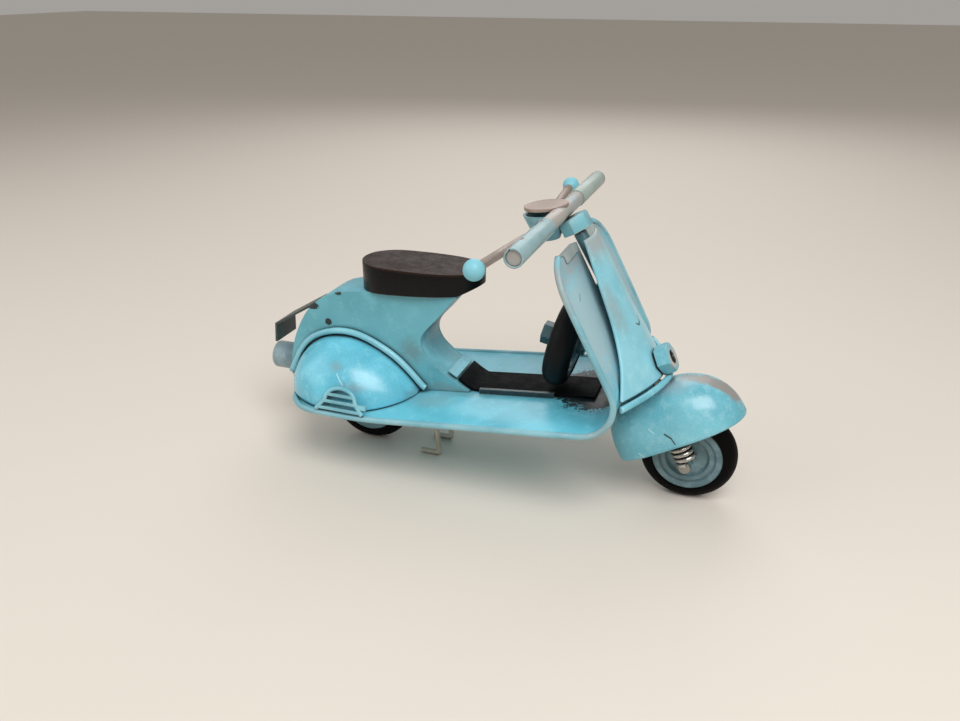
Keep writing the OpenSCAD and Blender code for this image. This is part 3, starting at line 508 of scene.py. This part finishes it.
# ---------------------------------------------------------------------------
# Handlebar
# A tube with a sheet sleeve rolled round each end as a grip. The right sleeve keeps its turquoise
# paint on top, the left is pale grey-green, and the middle is bare. The levers are bent rods with
# round heads.
# ---------------------------------------------------------------------------
softened("steering_stem", bare_rod, edge_mm=0.1)
softened("steering_nut", coat("worn turquoise enamel on steel nut", "#79b4c0", "#a1c2c7", "#5d9cab",
                              bare="#ab9a90", roughness=0.36, edges=1.2), edge_mm=0.18, sharp=35)
softened("handlebar_tube", coat("rubbed paint on bar tube", "#a39c95", "#b5aca4", "#8d9a9b",
                                bare="#a3958c", roughness=0.42), edge_mm=0.15)
bar_low, bar_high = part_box("grip_right")
bar_x, bar_z = 500 * (bar_low.x + bar_high.x), 500 * (bar_low.z + bar_high.z)
# each chip is its colour, strength, place from the bar's middle, radii and softness
grip_marks = [("spot", colour, strength, (bar_x + x, y, bar_z + z), radii, soft)
              for colour, strength, x, y, z, radii, soft in (
                  ("#a3958e", 0.7, -1, -33, -2.4, (2.4, 20, 2), 0.9),
                  ("#7a3f35", 0.75, -0.6, -37, 2.4, (0.9, 1.6, 1.2), 0.6),
                  ("#191515", 0.95, -1.8, -21, 2, (0.8, 2.6, 0.8), 0.3),
                  ("#7a3f35", 0.75, -0.8, -19.6, 2.3, (1, 1.6, 1), 0.6))]
softened("grip_right", coat("turquoise paint on rolled sleeve", "#8aa9ae", "#a3b6b8", "#76969c",
                            bare="#a1948d", roughness=0.38, marks=grip_marks), edge_mm=0.2)
softened("grip_left", coat("pale grey-green paint on rolled sleeve", "#98a7a0", "#adb7b0", "#7f918c",
                           bare="#8f7f74", roughness=0.42), edge_mm=0.2)
softened("headset_cup", coat("turquoise enamel on headset cup", "#79abb5", "#98bcc2", "#3f6b73",
                             roughness=0.4), edge_mm=0.1)
softened("dial_disc", coat("bare pinkish brown sheet", "#a69389", "#b9a79d", "#8c7a70", bare="#d9cfc8",
                           metal=0.45, roughness=0.5, edges=1.2), edge_mm=0.15)
ball_x, ball_z = 11.9, 81.6
ball_radius = 2.7
ball_y = 1000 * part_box("lever_right")[0].y + ball_radius
for side, sign in (("right", 1), ("left", -1)):
    ball_at = (ball_x, sign * ball_y, ball_z)
    softened("lever_" + side, coat(side + " lever, bare rod with painted ball", "#97867b", "#ab9c92",
                                   "#7c6b61", bare="#b9aaa0", roughness=0.4, marks=[
                                       ("spot", "#79bccb", 1.0, ball_at, (4.2, 3.9, 4.2), 0.05)]),
             edge_mm=0, sharp=50)


# ---------------------------------------------------------------------------
# Floor, light and camera
# A plain pale floor, a large soft light above and in front, and a weaker one from behind.
# ---------------------------------------------------------------------------
def soft_light(name, place, target, size, power):
    light = bpy.data.lights.new(name, "AREA")
    light.shape = "SQUARE"
    light.size = size
    light.energy = power
    lamp = bpy.data.objects.new(name, light)
    lamp.location = place
    lamp.rotation_euler = (Vector(target) - Vector(place)).to_track_quat("-Z", "Y").to_euler()
    bpy.context.scene.collection.objects.link(lamp)


floor_mesh = bpy.data.meshes.new("pale floor")
floor_mesh.from_pydata([(-3, -3, 0), (3, -3, 0), (3, 3, 0), (-3, 3, 0)], [], [(0, 1, 2, 3)])
floor_paint = bpy.data.materials.new("matt pale floor")
floor_paint.use_nodes = True
floor_shader = floor_paint.node_tree.nodes["Principled BSDF"]
floor_shader.inputs["Base Color"].default_value = tint("#d8d0c6")
floor_shader.inputs["Roughness"].default_value = 0.7
floor_mesh.materials.append(floor_paint)
pale_floor = bpy.data.objects.new("pale_floor", floor_mesh)
bpy.context.scene.collection.objects.link(pale_floor)

soft_light("key light", (0.22, -0.30, 0.55), (0, 0, 0.03), 0.42, 3.4)
soft_light("fill light", (-0.5, -0.25, 0.35), (0, 0, 0.03), 0.5, 1.0)
soft_light("rim light", (-0.1, 0.55, 0.45), (0, 0, 0.04), 0.5, 1.3)
world = bpy.data.worlds.new("soft daylight")
world.use_nodes = True
world.node_tree.nodes["Background"].inputs["Color"].default_value = tint("#f0ece6")
world.node_tree.nodes["Background"].inputs["Strength"].default_value = 0.42
bpy.context.scene.world = world
bpy.context.scene.view_settings.view_transform = "Standard"

camera_data = bpy.data.cameras.new("camera")
camera_data.sensor_width = 36
camera_data.lens = 30.985
camera = bpy.data.objects.new("camera", camera_data)
camera_axes = Matrix((
    (0.939794, -0.144262, 0.309800),
    (0.341742, 0.396950, -0.851847),
    (-0.000086, 0.906432, 0.422352))).to_4x4()
camera.matrix_world = Matrix.Translation(Vector((77.976, -224.527, 145.818)) * MM) @ camera_axes
camera_data.clip_start = 0.01
bpy.context.scene.collection.objects.link(camera)
bpy.context.scene.camera = camera
